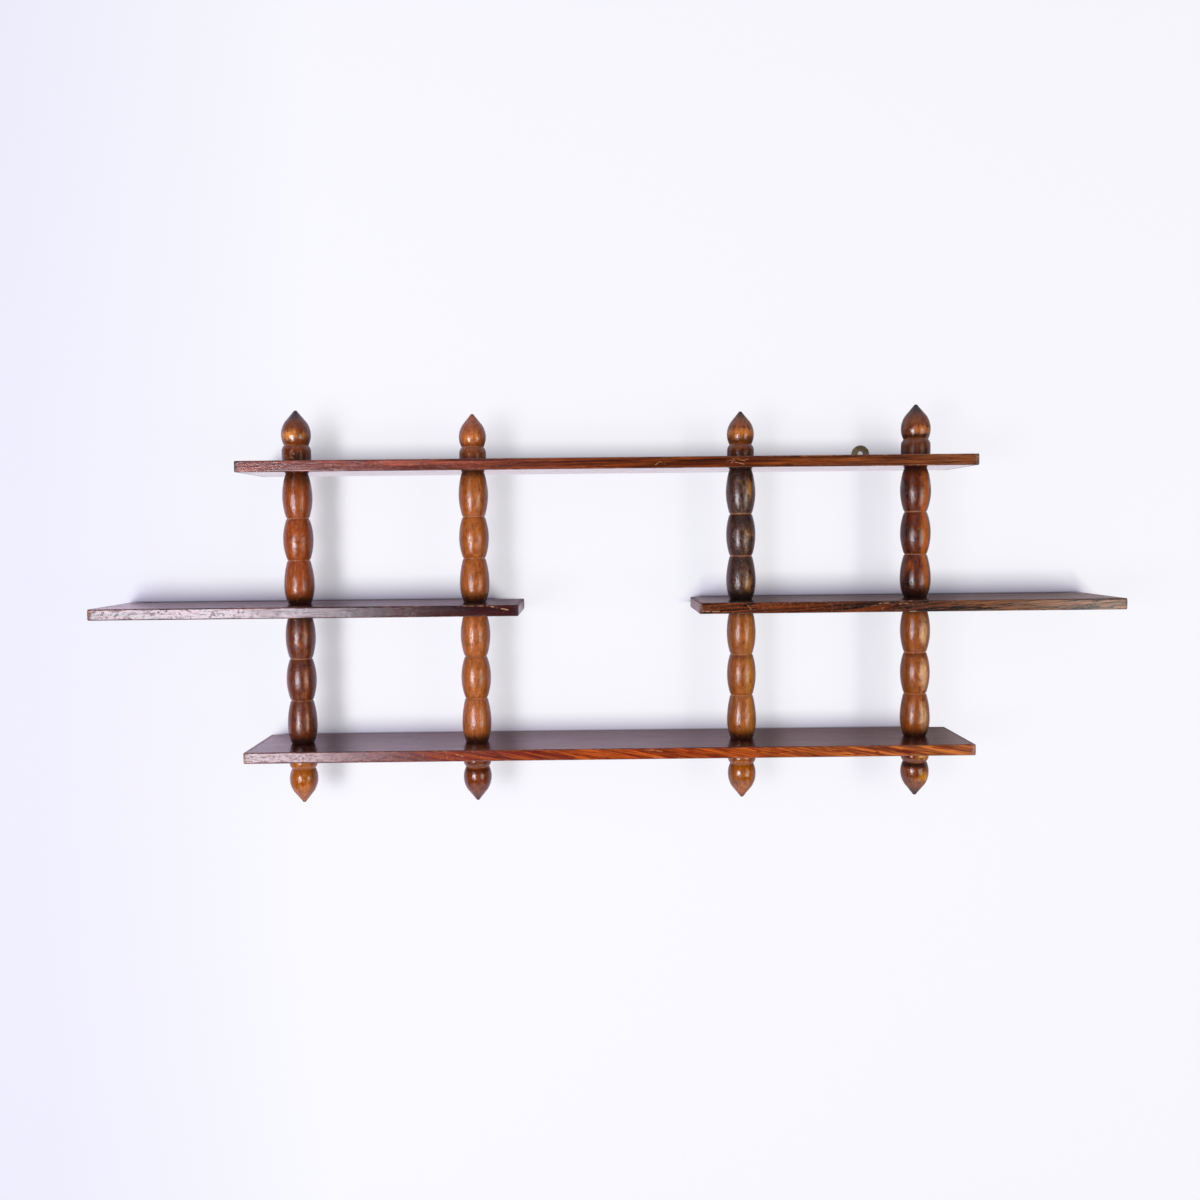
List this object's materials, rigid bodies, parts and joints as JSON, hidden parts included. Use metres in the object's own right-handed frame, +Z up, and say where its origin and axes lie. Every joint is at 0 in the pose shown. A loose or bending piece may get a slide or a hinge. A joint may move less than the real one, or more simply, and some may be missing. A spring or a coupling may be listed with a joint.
{
  "type": "bobbin wall shelf",
  "caption": "Wall shelf with long top and bottom boards and staggered middle boards, carried on bobbin-turned posts with pointed finials and hung from brass plates.",
  "frame": {"origin": "middle of the bottom board's back edge, in the plane of the wall", "axes": "+X to the viewer's right along the boards, +Y into the wall, +Z up"},
  "size_m": [0.92, 0.1, 0.3615],
  "materials": {
    "board_wood": "dark stain, worn satin varnish",
    "brown_turning": "orange-brown stain, gloss varnish",
    "dark_turning": "dark brown stain, gloss varnish",
    "honey_turning": "honey stain, gloss varnish",
    "dowel_wood": "bare",
    "brass": "aged, dull"
  },
  "bodies": {
    "root": {"top_shelf": "board_wood", "left_middle_shelf": "board_wood", "right_middle_shelf": "board_wood", "bottom_shelf": "board_wood", "far_left_top_finial": "brown_turning", "far_left_upper_spindle": "brown_turning", "far_left_lower_spindle": "dark_turning", "far_left_bottom_finial": "honey_turning", "far_left_top_dowel": "dowel_wood", "far_left_middle_dowel": "dowel_wood", "far_left_bottom_dowel": "dowel_wood", "inner_left_top_finial": "brown_turning", "inner_left_upper_spindle": "brown_turning", "inner_left_lower_spindle": "honey_turning", "inner_left_bottom_finial": "dark_turning", "inner_left_top_dowel": "dowel_wood", "inner_left_middle_dowel": "dowel_wood", "inner_left_bottom_dowel": "dowel_wood", "inner_right_top_finial": "brown_turning", "inner_right_upper_spindle": "dark_turning", "inner_right_lower_spindle": "honey_turning", "inner_right_bottom_finial": "honey_turning", "inner_right_top_dowel": "dowel_wood", "inner_right_middle_dowel": "dowel_wood", "inner_right_bottom_dowel": "dowel_wood", "far_right_top_finial": "brown_turning", "far_right_upper_spindle": "dark_turning", "far_right_lower_spindle": "honey_turning", "far_right_bottom_finial": "honey_turning", "far_right_top_dowel": "dowel_wood", "far_right_middle_dowel": "dowel_wood", "far_right_bottom_dowel": "dowel_wood", "left_hanger_plate": "brass", "left_hanger_near_screw": "brass", "left_hanger_far_screw": "brass", "right_hanger_plate": "brass", "right_hanger_near_screw": "brass", "right_hanger_far_screw": "brass"}
  },
  "joints": []
}
